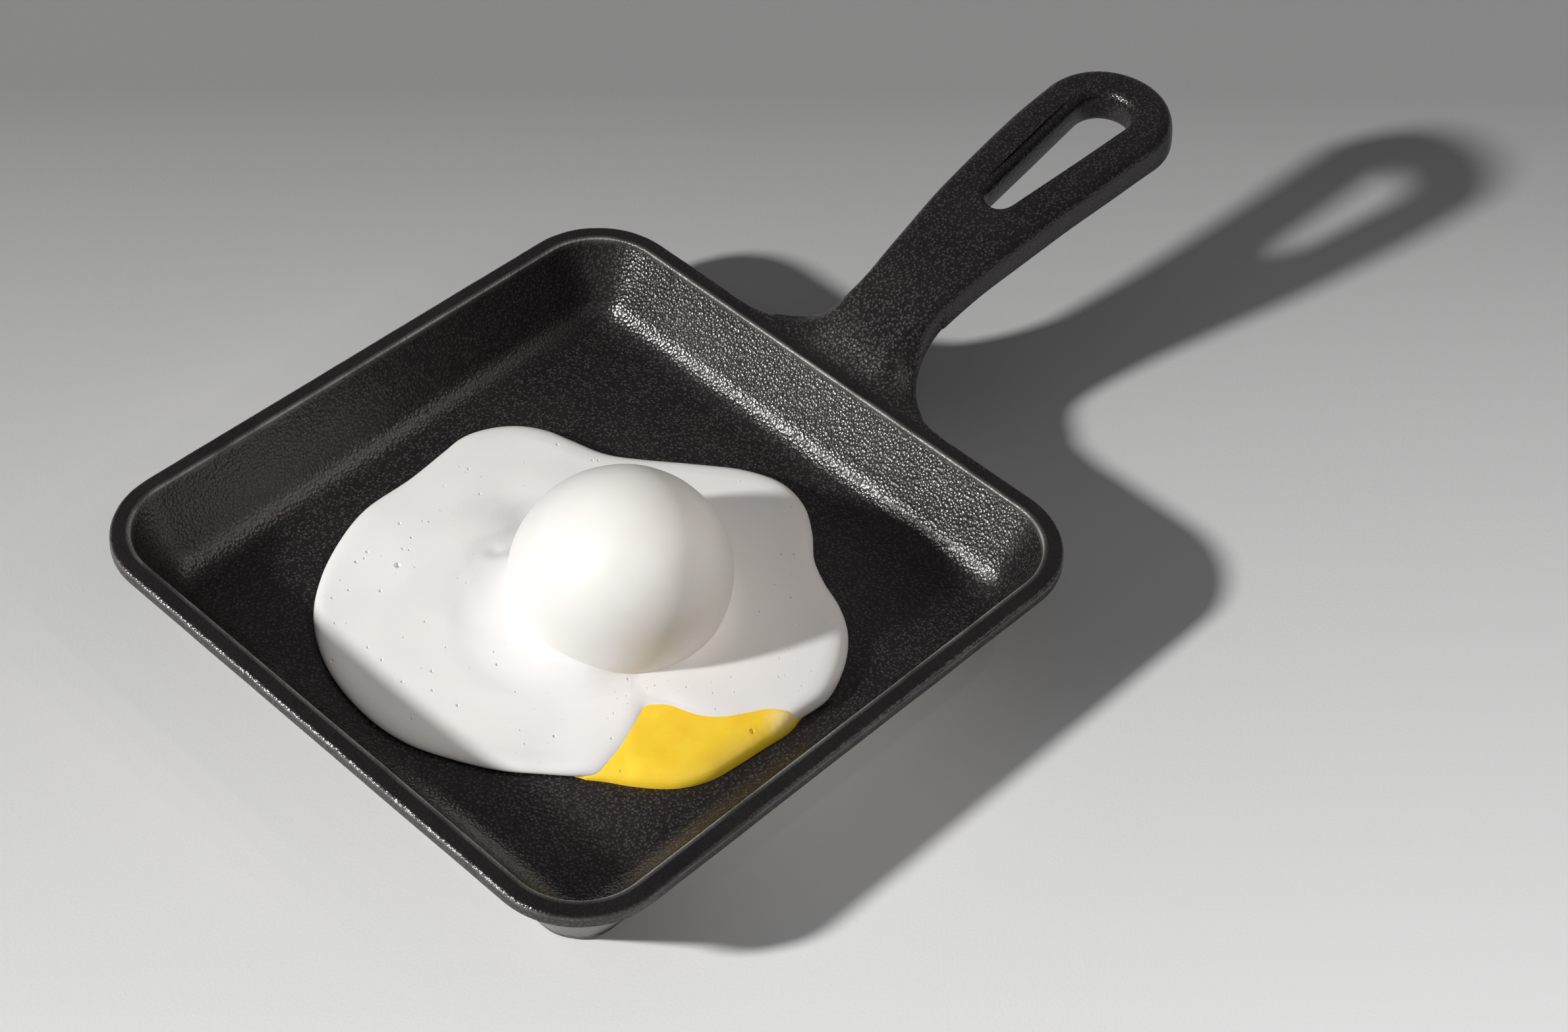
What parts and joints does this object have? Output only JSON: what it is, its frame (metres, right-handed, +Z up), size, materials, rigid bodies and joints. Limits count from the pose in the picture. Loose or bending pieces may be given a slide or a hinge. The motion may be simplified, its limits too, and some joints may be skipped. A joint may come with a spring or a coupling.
{
  "type": "fried egg in a square skillet",
  "caption": "Fried egg served in its own small square cast-iron skillet: a smooth poured white with a pale egg standing in it and a yellow yolk pool at its edge.",
  "frame": {"origin": "centre of the skillet's flat underside", "axes": "+Z up, +X out along the handle, +Y to the handle's left seen from above with the handle pointing away"},
  "size_m": [0.2133, 0.127, 0.039],
  "materials": {
    "cast_iron": "seasoned black, pebbled by the sand mould, satin",
    "egg_white": "matte set white with pinholes and faint ripples",
    "eggshell": "fine-pored matte shell, a little creamy low down",
    "egg_yolk": "set yolk, satin, duller on its sloping side"
  },
  "bodies": {
    "root": {"pan": "cast_iron", "egg_white": "egg_white", "whole_egg": "eggshell", "yolk_pool": "egg_yolk"}
  },
  "joints": []
}
